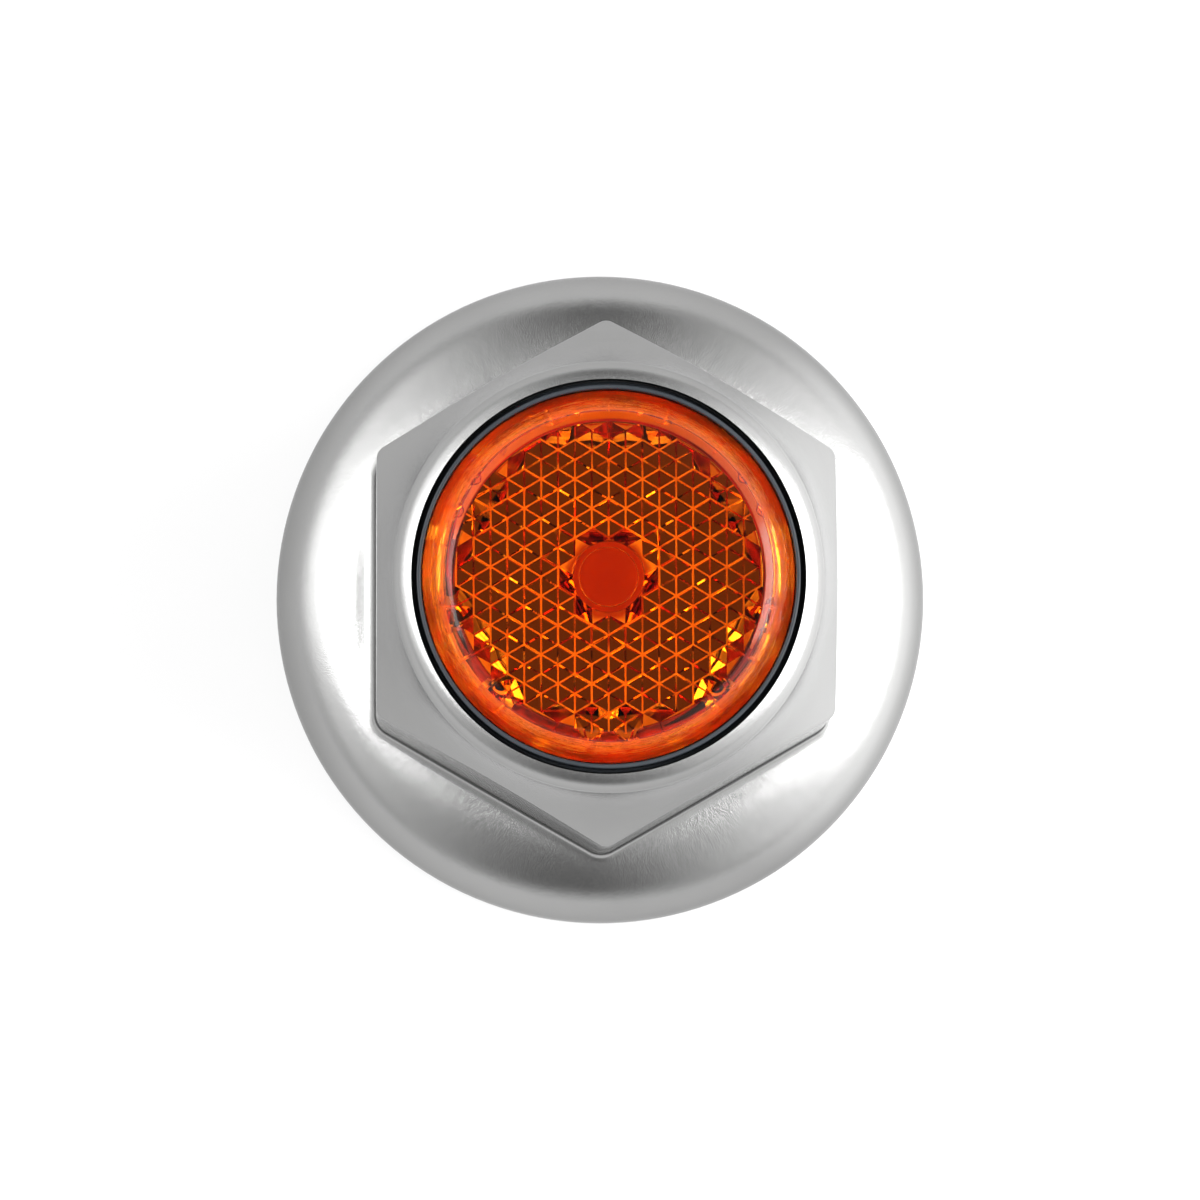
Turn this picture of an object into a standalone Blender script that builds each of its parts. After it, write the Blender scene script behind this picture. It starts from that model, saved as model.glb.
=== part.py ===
"""Push-on cover for a 33 mm truck wheel nut, with a round amber reflector in its nose.

The cover is a drawn stainless shell: a domed round flange, a drafted hexagonal body and
a flared round nose with a rolled shoulder. The reflector is a lens with moulded prisms in
a dark housing, clamped under the shoulder. A channel band inside the hexagon carries six
riveted leaf springs, one for each flat of the nut.

All lengths below are millimetres, +Z runs up the cover's axis, the rim lies at Z = 0 and
the hexagon has flats towards +X and -X. Each leaf spring turns about its own origin.
"""
import math

import bmesh
import bpy
from mathutils import Matrix, Vector

MM = 0.001
SIDES = 6
SEGMENTS = 60            # steps in every turned piece
CORNER_STEPS = 3         # steps in each rounded corner of a hexagon
GAP = 0.3                # clearance between neighbouring pieces

# Shell
WALL = 0.7
RIM_RADIUS = 26.5
RIM_HEIGHT = 0.6
DOME_WIDTH = 8.0         # radial and vertical half-axes of the flange's domed section
DOME_HEIGHT = 6.9
DOME_STEPS = 7
HEX_BASE_Z = 4.0
HEX_BASE_APOTHEM = 18.34
HEX_BASE_CORNER = 1.8
HEX_TOP_Z = 60.0
HEX_TOP_APOTHEM = 17.88
HEX_TOP_CORNER = 0.6
NOSE_RADIUS = 16.72      # where the flare meets the rolled shoulder
SHOULDER_Z = 56.25
SHOULDER_ROLL = 2.0
SHOULDER_STEPS = 5
FLARE_RATE = 0.0352      # the flare widens by rate * drop ** power
FLARE_POWER = 1.755
FLARE_DROP = 17.6
FLARE_STEPS = 7
OPENING_RADIUS = 15.15
OPENING_BASE_Z = 50.0    # the opening is cut from here up
LEAST_CORNER = 0.25      # smallest corner radius inside the hexagon
OVERRUN = 1.0            # how far a cutting solid runs past the surface it cuts

# Reflector
LENS_TOP_Z = 60.0
LENS_RADIUS = 14.4
LENS_BACK_Z = 57.7
LENS_FOOT_Z = 56.6
LENS_FOOT_RADIUS = 12.7  # inner edge of the foot, which tapers in to the recess
LENS_RECESS_RADIUS = 12.3
WINDOW_RADIUS = 11.9
LENS_SHOULDER = 1.2
LENS_SHOULDER_STEPS = 5
FLANK_ANGLE = math.radians(58)
PRISM_PITCH = 2.6        # across the flats of one prism cell
PRISM_FIELD_RADIUS = 11.75
PRISM_CREST_DROP = 0.1   # from the lens's back down to the prisms' crests
PRISM_ROOT = 0.8         # how far the prisms run up into the lens
BOSS_RADIUS = 2.75
BOSS_GROOVE_RADIUS = 2.28
BOSS_GROOVE_DEPTH = 0.25
BOSS_Z = 55.2
EASE = 0.1               # chamfers, and the slip fit of one round piece in another
BEZEL_TOP_Z = 58.0
BEZEL_RADIUS = OPENING_RADIUS - GAP
BEZEL_SEAT_RADIUS = LENS_RADIUS + EASE
CUP_FLANGE_TOP_Z = LENS_FOOT_Z - GAP
CUP_FLANGE_HEIGHT = 1.1
CUP_RADIUS = 12.8
CUP_WALL = 0.5
CUP_FLOOR = 1.2
POCKET_RADIUS = CUP_RADIUS + GAP
HOUSING_RADIUS = 14.2
HOUSING_BASE_Z = 49.4
HOUSING_LIP = 0.9        # inward lip under the cup, and its thickness
COLLAR_TOP_Z = 55.65
COLLAR_HEIGHT = 1.3
COLLAR_RADIUS = 15.65
GASKET_HEIGHT = 0.8
GASKET_CHAMFER = 0.15
CLIP_THICKNESS = 0.5
CLIP_RADIUS = 15.9
CLIP_TEETH = 12
CLIP_SLOT_WIDTH = 1.6
CLIP_SLOT_RADIUS = 15.1
CLIP_SLOT_LENGTH = 2.0

# Band and leaf springs
BAND_BASE_Z = 33.0
BAND_TOP_Z = 41.0
BAND_LIP_APOTHEM = 16.95
BAND_WEB_APOTHEM = 16.35
BAND_STOCK = 0.5
BAND_CORNER = 2.0
LEAF_STOCK = 0.4
LEAF_WIDTH = 9.0
LEAF_ROOT_APOTHEM = BAND_WEB_APOTHEM - BAND_STOCK - GAP - LEAF_STOCK / 2
LEAF_TOP = 3.2           # heights of a leaf's stations above its rivets
LEAF_BEND = -3.9
LEAF_HEEL = -10.0
LEAF_GRIP = -18.0
LEAF_TIP = -21.5
LEAF_HEEL_APOTHEM = 16.4
LEAF_GRIP_APOTHEM = 15.9
LEAF_STEPS = 4           # steps in each bend of a leaf
RIVET_Z = 37.0
RIVET_SPACING = 5.0
RIVET_RADIUS = 0.8
RIVET_HEAD_RADIUS = 1.5
RIVET_HEAD_HEIGHT = 0.5
RIVET_TAIL_RADIUS = 1.3
RIVET_TAIL_HEIGHT = 0.35
RIVET_DOME_STEPS = 3
RIVET_SEGMENTS = 12
RIVET_HOLE_RADIUS = RIVET_RADIUS + GAP
RIVET_HOLE_SEGMENTS = 16
RIVET_HOLE_DEPTH = 4.0


# --- Materials ---------------------------------------------------------------------------

def material(name, colour, metallic, roughness, transmission=0.0):
    finish = bpy.data.materials.new(name)
    finish.use_nodes = True
    shader = finish.node_tree.nodes["Principled BSDF"]
    shader.inputs["Base Color"].default_value = (*colour, 1)
    shader.inputs["Metallic"].default_value = metallic
    shader.inputs["Roughness"].default_value = roughness
    shader.inputs["Transmission Weight"].default_value = transmission
    finish.diffuse_color = (*colour, 1)
    return finish


# --- Building helpers --------------------------------------------------------------------

def make_object(name, bm, finish, smooth_angle=35):
    """Turn a bmesh in millimetres into a named object with outward faces."""
    bmesh.ops.remove_doubles(bm, verts=bm.verts, dist=1e-4)
    bmesh.ops.recalc_face_normals(bm, faces=bm.faces)
    bmesh.ops.scale(bm, vec=(MM, MM, MM), verts=bm.verts)
    mesh = bpy.data.meshes.new(name)
    bm.to_mesh(mesh)
    bm.free()
    mesh.shade_smooth()
    mesh.set_sharp_from_angle(angle=math.radians(smooth_angle))
    if finish is not None:
        mesh.materials.append(finish)
    piece = bpy.data.objects.new(name, mesh)
    bpy.context.scene.collection.objects.link(piece)
    return piece


def turned(profile, ring=False, segments=SEGMENTS):
    """Spin an (r, z) outline about +Z; a ring's outline closes on itself."""
    bm = bmesh.new()
    verts = [bm.verts.new((r, 0, z)) for r, z in profile]
    pairs = list(zip(verts, verts[1:]))
    if ring:
        pairs.append((verts[-1], verts[0]))
    edges = [bm.edges.new(pair) for pair in pairs]
    bmesh.ops.spin(bm, geom=verts + edges, cent=(0, 0, 0), axis=(0, 0, 1),
                   angle=2 * math.pi, steps=segments)
    return bm


def hexagon(apothem, corner_radius, z):
    """Points of a hexagon with flats towards +X and -X and rounded corners."""
    points = []
    for side in range(SIDES):
        direction = math.radians(30 + 60 * side)
        reach = (apothem - corner_radius) / math.cos(math.radians(30))
        for step in range(CORNER_STEPS + 1):
            turn = direction + math.radians(-30 + 60 * step / CORNER_STEPS)
            points.append((reach * math.cos(direction) + corner_radius * math.cos(turn),
                           reach * math.sin(direction) + corner_radius * math.sin(turn), z))
    return points


def lofted(sections, ring=False):
    """Skin a stack of equal-length outlines; a ring's last section joins its first."""
    bm = bmesh.new()
    rows = [[bm.verts.new(point) for point in section] for section in sections]
    pairs = list(zip(rows, rows[1:]))
    if ring:
        pairs.append((rows[-1], rows[0]))
    else:
        bm.faces.new(rows[0])
        bm.faces.new(rows[-1])
    for lower, upper in pairs:
        for i in range(len(lower)):
            j = (i + 1) % len(lower)
            bm.faces.new((lower[i], lower[j], upper[j], upper[i]))
    return bm


def offset_inwards(profile, distance):
    """Shift a top-to-bottom (r, z) outline towards the axis side by a distance."""
    moved = []
    for i, (r, z) in enumerate(profile):
        before = Vector(profile[max(i - 1, 0)])
        after = Vector(profile[min(i + 1, len(profile) - 1)])
        along = (after - before).normalized()
        moved.append((r + along.y * distance, z - along.x * distance))
    return moved


def combine(piece, tool, operation):
    """Add a Boolean modifier, and hide its tool."""
    modifier = piece.modifiers.new(f"{operation.title()} {tool.name}", "BOOLEAN")
    modifier.operation = operation
    modifier.solver = "EXACT"
    modifier.object = tool
    tool.hide_render = True
    tool.display_type = "WIRE"


# --- Shell -------------------------------------------------------------------------------

def dome_profile(shrink=0.0):
    """The flange from its rim up to where it runs under the hexagon."""
    centre = RIM_RADIUS - DOME_WIDTH
    points = [(RIM_RADIUS - shrink, -OVERRUN if shrink else 0.0)]
    for step in range(DOME_STEPS + 1):
        turn = math.radians(90) * step / DOME_STEPS
        points.append((centre + (DOME_WIDTH - shrink) * math.cos(turn),
                       RIM_HEIGHT + (DOME_HEIGHT - shrink) * math.sin(turn)))
    return points


def nose_profile():
    """The rolled shoulder from the opening outwards, then the flare, top to bottom."""
    centre = NOSE_RADIUS - SHOULDER_ROLL
    start = math.acos((OPENING_RADIUS - centre) / SHOULDER_ROLL)
    points = []
    for step in range(SHOULDER_STEPS + 1):
        turn = start * (1 - step / SHOULDER_STEPS)
        points.append((centre + SHOULDER_ROLL * math.cos(turn),
                       SHOULDER_Z + SHOULDER_ROLL * math.sin(turn)))
    for step in range(1, FLARE_STEPS + 1):
        drop = FLARE_DROP * step / FLARE_STEPS
        points.append((NOSE_RADIUS + FLARE_RATE * drop ** FLARE_POWER, SHOULDER_Z - drop))
    return points


def envelope(name, shrink):
    """Solid hexagonal body trimmed by the nose and joined to the flange."""
    nose = nose_profile()
    if shrink:
        nose = offset_inwards(nose, shrink)
    corner = (HEX_BASE_CORNER - shrink, max(HEX_TOP_CORNER - shrink, LEAST_CORNER))
    body = make_object(name, lofted([
        hexagon(HEX_BASE_APOTHEM - shrink, corner[0], HEX_BASE_Z - shrink),
        hexagon(HEX_TOP_APOTHEM - shrink, corner[1], HEX_TOP_Z)]), steel)
    outline = [(0, nose[0][1])] + nose + [(nose[-1][0], OVERRUN), (0, OVERRUN)]
    combine(body, make_object(f"{name}_nose", turned(outline), None), "INTERSECT")
    dome = dome_profile(shrink)
    outline = [(0, dome[0][1])] + dome + [(0, dome[-1][1])]
    combine(body, make_object(f"{name}_flange", turned(outline), None), "UNION")
    return body


def cover_shell():
    shell = envelope("cover_shell", 0.0)
    hollow = envelope("shell_hollow", WALL)
    top = HEX_TOP_Z + OVERRUN
    opening = turned([(0, top), (OPENING_RADIUS, top), (OPENING_RADIUS, OPENING_BASE_Z),
                      (0, OPENING_BASE_Z)])
    combine(shell, hollow, "DIFFERENCE")
    combine(shell, make_object("shell_opening", opening, None), "DIFFERENCE")


# --- Reflector ---------------------------------------------------------------------------

def prism_block():
    """Cube-corner prisms: every cell shows three square faces meeting at its tip."""
    side = PRISM_PITCH / math.sqrt(3)
    step = side / math.sqrt(2)               # height between tips, valleys and crests
    crest = LENS_BACK_Z - PRISM_CREST_DROP
    bm = bmesh.new()
    count = int(PRISM_FIELD_RADIUS / PRISM_PITCH) + 2
    for row in range(-count, count + 1):
        for column in range(-count, count + 1):
            centre = Vector(((column + row / 2) * PRISM_PITCH,
                             row * PRISM_PITCH * math.sqrt(3) / 2))
            if not BOSS_RADIUS + side < centre.length < PRISM_FIELD_RADIUS - side:
                continue
            ring = []
            for k in range(SIDES):
                turn = math.radians(30 + 60 * k)
                level = crest if k % 2 else crest - step
                ring.append((centre.x + side * math.cos(turn),
                             centre.y + side * math.sin(turn), level))
            tip = (centre.x, centre.y, crest - 2 * step)
            for k in range(0, SIDES, 2):
                corners = (tip, ring[k], ring[(k + 1) % SIDES], ring[(k + 2) % SIDES])
                bm.faces.new([bm.verts.new(corner) for corner in corners])
    bmesh.ops.remove_doubles(bm, verts=bm.verts, dist=1e-3)
    grown = bmesh.ops.extrude_face_region(bm, geom=bm.faces[:])
    for item in grown["geom"]:
        if isinstance(item, bmesh.types.BMVert):
            item.co.z = LENS_BACK_Z + PRISM_ROOT
    return bm


def reflector_lens():
    """Domed-shoulder window, steep flank, foot on the cup, and prisms round a centre boss."""
    shoulder_z = LENS_TOP_Z - LENS_SHOULDER
    outline = [(0, LENS_TOP_Z)]
    for step in range(LENS_SHOULDER_STEPS + 1):
        turn = FLANK_ANGLE * step / LENS_SHOULDER_STEPS
        outline.append((WINDOW_RADIUS + LENS_SHOULDER * math.sin(turn),
                        shoulder_z + LENS_SHOULDER * math.cos(turn)))
    run = LENS_RADIUS - outline[-1][0]
    outline.append((LENS_RADIUS, outline[-1][1] - run * math.tan(FLANK_ANGLE)))
    groove_z = BOSS_Z + BOSS_GROOVE_DEPTH
    outline += [(LENS_RADIUS, LENS_FOOT_Z), (LENS_FOOT_RADIUS, LENS_FOOT_Z),
                (LENS_RECESS_RADIUS, LENS_BACK_Z), (BOSS_RADIUS, LENS_BACK_Z),
                (BOSS_RADIUS, BOSS_Z), (BOSS_GROOVE_RADIUS, BOSS_Z),
                (BOSS_GROOVE_RADIUS, groove_z), (0, groove_z)]
    lens = make_object("reflector_lens", turned(outline), amber)
    combine(lens, make_object("lens_prisms", prism_block(), amber), "UNION")


def reflector_housing():
    """Dark bezel and barrel; its collar sits under the shell's shoulder."""
    seat_z = CUP_FLANGE_TOP_Z - CUP_FLANGE_HEIGHT - GAP
    collar_base = COLLAR_TOP_Z - COLLAR_HEIGHT
    make_object("reflector_housing", turned([
        (BEZEL_RADIUS - EASE, BEZEL_TOP_Z), (BEZEL_RADIUS, BEZEL_TOP_Z - EASE),
        (BEZEL_RADIUS, COLLAR_TOP_Z), (COLLAR_RADIUS, COLLAR_TOP_Z),
        (COLLAR_RADIUS, collar_base), (HOUSING_RADIUS, collar_base),
        (HOUSING_RADIUS, HOUSING_BASE_Z), (POCKET_RADIUS - HOUSING_LIP, HOUSING_BASE_Z),
        (POCKET_RADIUS - HOUSING_LIP, HOUSING_BASE_Z + HOUSING_LIP),
        (POCKET_RADIUS, HOUSING_BASE_Z + HOUSING_LIP),
        (POCKET_RADIUS, seat_z), (BEZEL_SEAT_RADIUS, seat_z),
        (BEZEL_SEAT_RADIUS, BEZEL_TOP_Z)], ring=True), dark_plastic)


def reflector_cup():
    """Orange cup behind the prisms; its flange carries the lens, its floor seals the back."""
    base = HOUSING_BASE_Z + HOUSING_LIP + GAP
    flange_base = CUP_FLANGE_TOP_Z - CUP_FLANGE_HEIGHT
    make_object("reflector_cup", turned([
        (0, base + CUP_FLOOR), (CUP_RADIUS - CUP_WALL, base + CUP_FLOOR),
        (CUP_RADIUS - CUP_WALL, CUP_FLANGE_TOP_Z), (LENS_RADIUS, CUP_FLANGE_TOP_Z),
        (LENS_RADIUS, flange_base), (CUP_RADIUS, flange_base), (CUP_RADIUS, base),
        (0, base)]), orange_plastic)


def reflector_gasket():
    """Rubber ring between the housing's collar and the shell's shoulder."""
    base = COLLAR_TOP_Z + GAP
    inner = BEZEL_RADIUS + GAP
    outer = COLLAR_RADIUS - EASE
    top = base + GASKET_HEIGHT
    make_object("reflector_gasket", turned([
        (inner, top), (outer - GASKET_CHAMFER, top), (outer, top - GASKET_CHAMFER),
        (outer, base), (inner, base)],
        ring=True), rubber)


def retaining_ring():
    """Toothed spring ring pushed up the nose until it bears on the housing's collar."""
    top = COLLAR_TOP_Z - COLLAR_HEIGHT - GAP
    ring = make_object("retaining_ring", turned([
        (HOUSING_RADIUS + GAP, top), (CLIP_RADIUS, top), (CLIP_RADIUS, top - CLIP_THICKNESS),
        (HOUSING_RADIUS + GAP, top - CLIP_THICKNESS)], ring=True), spring_steel)
    bm = bmesh.new()
    for tooth in range(CLIP_TEETH):
        turn = Matrix.Rotation(2 * math.pi * (tooth + 0.5) / CLIP_TEETH, 4, "Z")
        place = turn @ Matrix.Translation((CLIP_SLOT_RADIUS + CLIP_SLOT_LENGTH / 2, 0,
                                           top - CLIP_THICKNESS / 2))
        bmesh.ops.create_cube(bm, size=1, matrix=place @ Matrix.Diagonal(
            (CLIP_SLOT_LENGTH, CLIP_SLOT_WIDTH, 2 * CLIP_THICKNESS, 1)))
    combine(ring, make_object("ring_slots", bm, None), "DIFFERENCE")


# --- Band and leaf springs ---------------------------------------------------------------

def radial_frame(side, across, height):
    """Frame whose +Z points out through one flat; across runs along the flat."""
    turn = Matrix.Rotation(math.radians(60 * side), 4, "Z")
    return turn @ Matrix.Translation((0, across, height)) @ Matrix.Rotation(
        math.radians(90), 4, "Y")


def rivet_places():
    for side in range(SIDES):
        for number, across in enumerate((-RIVET_SPACING / 2, RIVET_SPACING / 2)):
            yield side, number, radial_frame(side, across, RIVET_Z)


def add_rivet_hole(bm, place):
    """Cylinder that cuts one rivet hole, along the frame's +Z."""
    bmesh.ops.create_cone(bm, cap_ends=True, segments=RIVET_HOLE_SEGMENTS,
                          radius1=RIVET_HOLE_RADIUS, radius2=RIVET_HOLE_RADIUS,
                          depth=RIVET_HOLE_DEPTH, matrix=place)


def retainer_band():
    """Channel-section hexagonal band: lips outwards, web inwards."""
    section = [(BAND_LIP_APOTHEM, BAND_BASE_Z), (BAND_LIP_APOTHEM, BAND_BASE_Z + BAND_STOCK),
               (BAND_WEB_APOTHEM, BAND_BASE_Z + BAND_STOCK),
               (BAND_WEB_APOTHEM, BAND_TOP_Z - BAND_STOCK),
               (BAND_LIP_APOTHEM, BAND_TOP_Z - BAND_STOCK), (BAND_LIP_APOTHEM, BAND_TOP_Z),
               (BAND_WEB_APOTHEM - BAND_STOCK, BAND_TOP_Z),
               (BAND_WEB_APOTHEM - BAND_STOCK, BAND_BASE_Z)]
    band = make_object("retainer_band", lofted([
        hexagon(apothem, BAND_CORNER - (BAND_LIP_APOTHEM - apothem), z)
        for apothem, z in section], ring=True), spring_steel)
    bm = bmesh.new()
    for _, _, place in rivet_places():
        add_rivet_hole(bm, place @ Matrix.Translation((0, 0, BAND_WEB_APOTHEM)))
    combine(band, make_object("band_holes", bm, None), "DIFFERENCE")


def leaf_path():
    """Middle line of a leaf as (distance from the axis, height above its rivets), top down.

    The root is straight, a smooth bend leads out to the heel, and another one in to the
    grip, whose curve runs on a little way out again to the tip.
    """
    points = [(LEAF_ROOT_APOTHEM, LEAF_TOP)]
    heel_rise = LEAF_HEEL_APOTHEM - LEAF_ROOT_APOTHEM
    for step in range(LEAF_STEPS + 1):
        share = step / LEAF_STEPS
        points.append((LEAF_ROOT_APOTHEM + heel_rise * (1 - math.cos(math.pi * share)) / 2,
                       LEAF_BEND + (LEAF_HEEL - LEAF_BEND) * share))
    swing = (LEAF_HEEL_APOTHEM - LEAF_GRIP_APOTHEM) / 2
    end = (LEAF_TIP - LEAF_HEEL) / (LEAF_GRIP - LEAF_HEEL)
    for step in range(1, LEAF_STEPS + 1):
        share = end * step / LEAF_STEPS
        points.append((LEAF_GRIP_APOTHEM + swing * (1 + math.cos(math.pi * share)),
                       LEAF_HEEL + (LEAF_GRIP - LEAF_HEEL) * share))
    return points


def leaf_mesh():
    """Leaf strip around its hinge line, which runs along Y through the origin."""
    path = leaf_path()
    face = offset_inwards(path, LEAF_STOCK / 2)
    back = offset_inwards(path, -LEAF_STOCK / 2)
    outline = face + back[::-1]
    rows = []
    for across in (-LEAF_WIDTH / 2, LEAF_WIDTH / 2):
        rows.append([(r - LEAF_ROOT_APOTHEM, across, z) for r, z in outline])
    return lofted(rows)


def leaf_spring(side):
    leaf = make_object(f"leaf_spring_{side + 1}", leaf_mesh(), spring_steel)
    turn = math.radians(60 * side)
    reach = LEAF_ROOT_APOTHEM * MM
    leaf.location = (reach * math.cos(turn), reach * math.sin(turn), RIVET_Z * MM)
    leaf.rotation_euler.z = turn
    bm = bmesh.new()
    for across in (-RIVET_SPACING / 2, RIVET_SPACING / 2):
        add_rivet_hole(bm, radial_frame(0, across, 0))
    holes = make_object(f"leaf_holes_{side + 1}", bm, None)
    holes.parent = leaf
    combine(leaf, holes, "DIFFERENCE")


def rivet_mesh():
    """Domed head inside, shank through leaf and band, domed tail outside the web."""
    head_face = LEAF_ROOT_APOTHEM - LEAF_STOCK / 2 - GAP
    tail_face = BAND_WEB_APOTHEM + GAP
    turns = [math.radians(90) * step / RIVET_DOME_STEPS for step in range(RIVET_DOME_STEPS + 1)]
    head = [(RIVET_HEAD_RADIUS * math.sin(turn), head_face - RIVET_HEAD_HEIGHT * math.cos(turn))
            for turn in turns]
    tail = [(RIVET_TAIL_RADIUS * math.sin(turn), tail_face + RIVET_TAIL_HEIGHT * math.cos(turn))
            for turn in reversed(turns)]
    shank = [(RIVET_RADIUS, head_face), (RIVET_RADIUS, tail_face)]
    return turned(head + shank + tail, segments=RIVET_SEGMENTS)


def rivets():
    for side, number, place in rivet_places():
        rivet = make_object(f"rivet_{side + 1}{'ab'[number]}", rivet_mesh(), rivet_steel)
        place.translation *= MM
        rivet.matrix_world = place


# --- Assembly ----------------------------------------------------------------------------

for leftover in list(bpy.data.objects):
    bpy.data.objects.remove(leftover, do_unlink=True)

steel = material("stainless_shell", (0.62, 0.62, 0.61), 1.0, 0.2)
amber = material("amber_acrylic", (0.95, 0.16, 0.01), 0.0, 0.06, transmission=0.8)
dark_plastic = material("dark_plastic", (0.05, 0.058, 0.065), 0.0, 0.45)
orange_plastic = material("orange_plastic", (0.75, 0.3, 0.08), 0.0, 0.5)
rubber = material("black_rubber", (0.02, 0.02, 0.02), 0.0, 0.8)
spring_steel = material("spring_steel", (0.35, 0.35, 0.36), 1.0, 0.35)
rivet_steel = material("rivet_steel", (0.55, 0.55, 0.55), 1.0, 0.3)

cover_shell()
reflector_lens()
reflector_housing()
reflector_cup()
reflector_gasket()
retaining_ring()
retainer_band()
for flat in range(SIDES):
    leaf_spring(flat)
rivets()
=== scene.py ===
"""Looks of a push-on wheel nut cover with a round amber reflector in its nose.

The drawn shell, lens, cup, housing, gasket, clip, band, leaves and rivets are rebuilt as fine
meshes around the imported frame. Named lengths are millimetres; meshes are written in metres.
"""
import math

import bmesh
import bpy
import numpy as np
from mathutils import Matrix, Vector


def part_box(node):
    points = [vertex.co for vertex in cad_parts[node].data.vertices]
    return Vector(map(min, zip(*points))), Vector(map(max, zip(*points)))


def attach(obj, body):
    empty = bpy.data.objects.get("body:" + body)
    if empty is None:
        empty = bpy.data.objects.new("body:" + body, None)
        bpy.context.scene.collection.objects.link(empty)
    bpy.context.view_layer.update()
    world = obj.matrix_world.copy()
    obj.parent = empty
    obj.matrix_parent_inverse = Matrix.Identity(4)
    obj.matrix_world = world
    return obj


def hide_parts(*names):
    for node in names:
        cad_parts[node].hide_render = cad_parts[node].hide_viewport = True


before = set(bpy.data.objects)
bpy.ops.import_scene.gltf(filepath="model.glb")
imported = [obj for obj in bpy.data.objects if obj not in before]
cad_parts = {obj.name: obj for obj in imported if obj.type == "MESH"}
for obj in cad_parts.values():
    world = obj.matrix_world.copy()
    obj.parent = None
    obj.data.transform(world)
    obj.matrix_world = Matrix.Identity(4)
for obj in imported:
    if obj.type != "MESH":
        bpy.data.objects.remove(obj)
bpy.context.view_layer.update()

MM = 0.001
SIDES = 6
GAP = 0.3              # between neighbouring pieces
SAME_POINT = 1e-4      # points closer than this become one
LEAST_RADIUS = 1e-5    # keeps a division by a radius finite
TURNED_SEGMENTS = 128
ROUND_STEPS = 9        # points along a small arc
EASE_SHARE = 0.45      # most of a side that the easing of its corner may take


def low(node):
    """Lowest corner of a CAD node's box."""
    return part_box(node)[0] / MM


def high(node):
    """Highest corner of a CAD node's box."""
    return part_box(node)[1] / MM


# Shell
WALL = 0.7
RIM_RADIUS = high("cover_shell").x
RIM_HEIGHT = 0.6
LIP_INNER_EASE = 0.12
LIP_OUTER_EASE = 0.2
LIP_OUTER_MIDDLE = 0.06
DOME_WIDTH = 8.0
DOME_HEIGHT = 6.9
HEX_BASE_Z = 4.0
HEX_BASE_APOTHEM = 18.34
HEX_BASE_CORNER = 1.8
HEX_TOP_Z = 60.0
HEX_TOP_APOTHEM = 17.88
HEX_TOP_CORNER = 0.6
NOSE_RADIUS = 16.72
SHOULDER_Z = 56.25
SHOULDER_ROLL = 2.0
FLARE_RATE = 0.0352
FLARE_POWER = 1.755
FLARE_DROP = 17.6
OPENING_RADIUS = 15.15
OPENING_EASE = 0.12
FILLET_RADIUS = 1.1
EDGE_RADIUS = 1.0
INNER_FILLET = 1.4
INNER_EDGE = 0.5
LEAST_CORNER = 0.2
FOOT_GUESS_Z = 8.0     # where the search for the wall's foot starts
CREST_GUESS_Z = 45.0   # and the one for its crest
SEARCH_ROUNDS = 3
HALVINGS = 40
CORNER_COLUMNS = 12
FLAT_COLUMNS = 24
DOME_ROWS = 30
FILLET_ROWS = 9
WALL_ROWS = 12
EDGE_ROWS = 6
FLARE_ROWS = 20
ROLL_ROWS = 18
INSIDE_DENSITY = 0.6   # share of those rows that the inside has

# Reflector
LENS_TOP_Z = high("reflector_lens").z
LENS_RADIUS = high("reflector_lens").x
LENS_BACK_Z = 57.7
LENS_FOOT_Z = 56.6
LENS_RIM_RADIUS = 11.9
WINDOW_RADIUS = 11.9
LENS_SHOULDER = 1.2
LENS_EASE = 0.08
LENS_SEGMENTS = 160
FLANK_ANGLE = math.radians(58)
PRISM_PITCH = 2.6
PRISM_FIELD_RADIUS = LENS_RIM_RADIUS + 0.03  # runs a little into the rim
PRISM_OUTER_RADIUS = 12.05  # faces whose middle is farther out are left out
PRISM_CLEAR_RADIUS = 3.0    # and those whose middle is nearer to the axis
PRISM_EDGE = 0.1
PRISM_CREST_DROP = 0.05
PRISM_ROOT = 0.8
PRISM_JOIN = 0.001          # corners closer than this become one
SLIVER = 0.002              # faces thinner than this are taken out of the lens
BOSS_RADIUS = 2.75
BOSS_GROOVE_RADIUS = 2.28
BOSS_GROOVE_DEPTH = 0.25
BOSS_Z = 55.2
BEZEL_TOP_Z = high("reflector_housing").z
BEZEL_RADIUS = OPENING_RADIUS - GAP
BEZEL_SEAT_RADIUS = LENS_RADIUS + 0.1  # the lens sits in it with this much play
HOUSING_RADIUS = 14.2
HOUSING_BASE_Z = low("reflector_housing").z
HOUSING_LIP = 0.9
HOUSING_EASE = 0.12
COLLAR_RADIUS = high("reflector_housing").x
COLLAR_TOP_Z = low("reflector_gasket").z - GAP
COLLAR_HEIGHT = 1.3
GASKET_EASE = 0.08
BEAD_HEIGHT = 0.15
BEAD_FOOT = 0.1        # half its width at the foot
BEAD_CREST = 0.05      # and at the crest
CUP_RADIUS = 12.8
CUP_WALL = 0.5
CUP_FLOOR = 1.2
CUP_FLANGE_HEIGHT = 1.1
CUP_EASE = 0.15
CLIP_TEETH = 12
CLIP_TOOTH_COLUMNS = 60
CLIP_SLOT_WIDTH = 1.6
CLIP_SLOT_RADIUS = 15.1
CLIP_SLOT_EASE = 0.12
CLIP_EASE = 0.06

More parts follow.
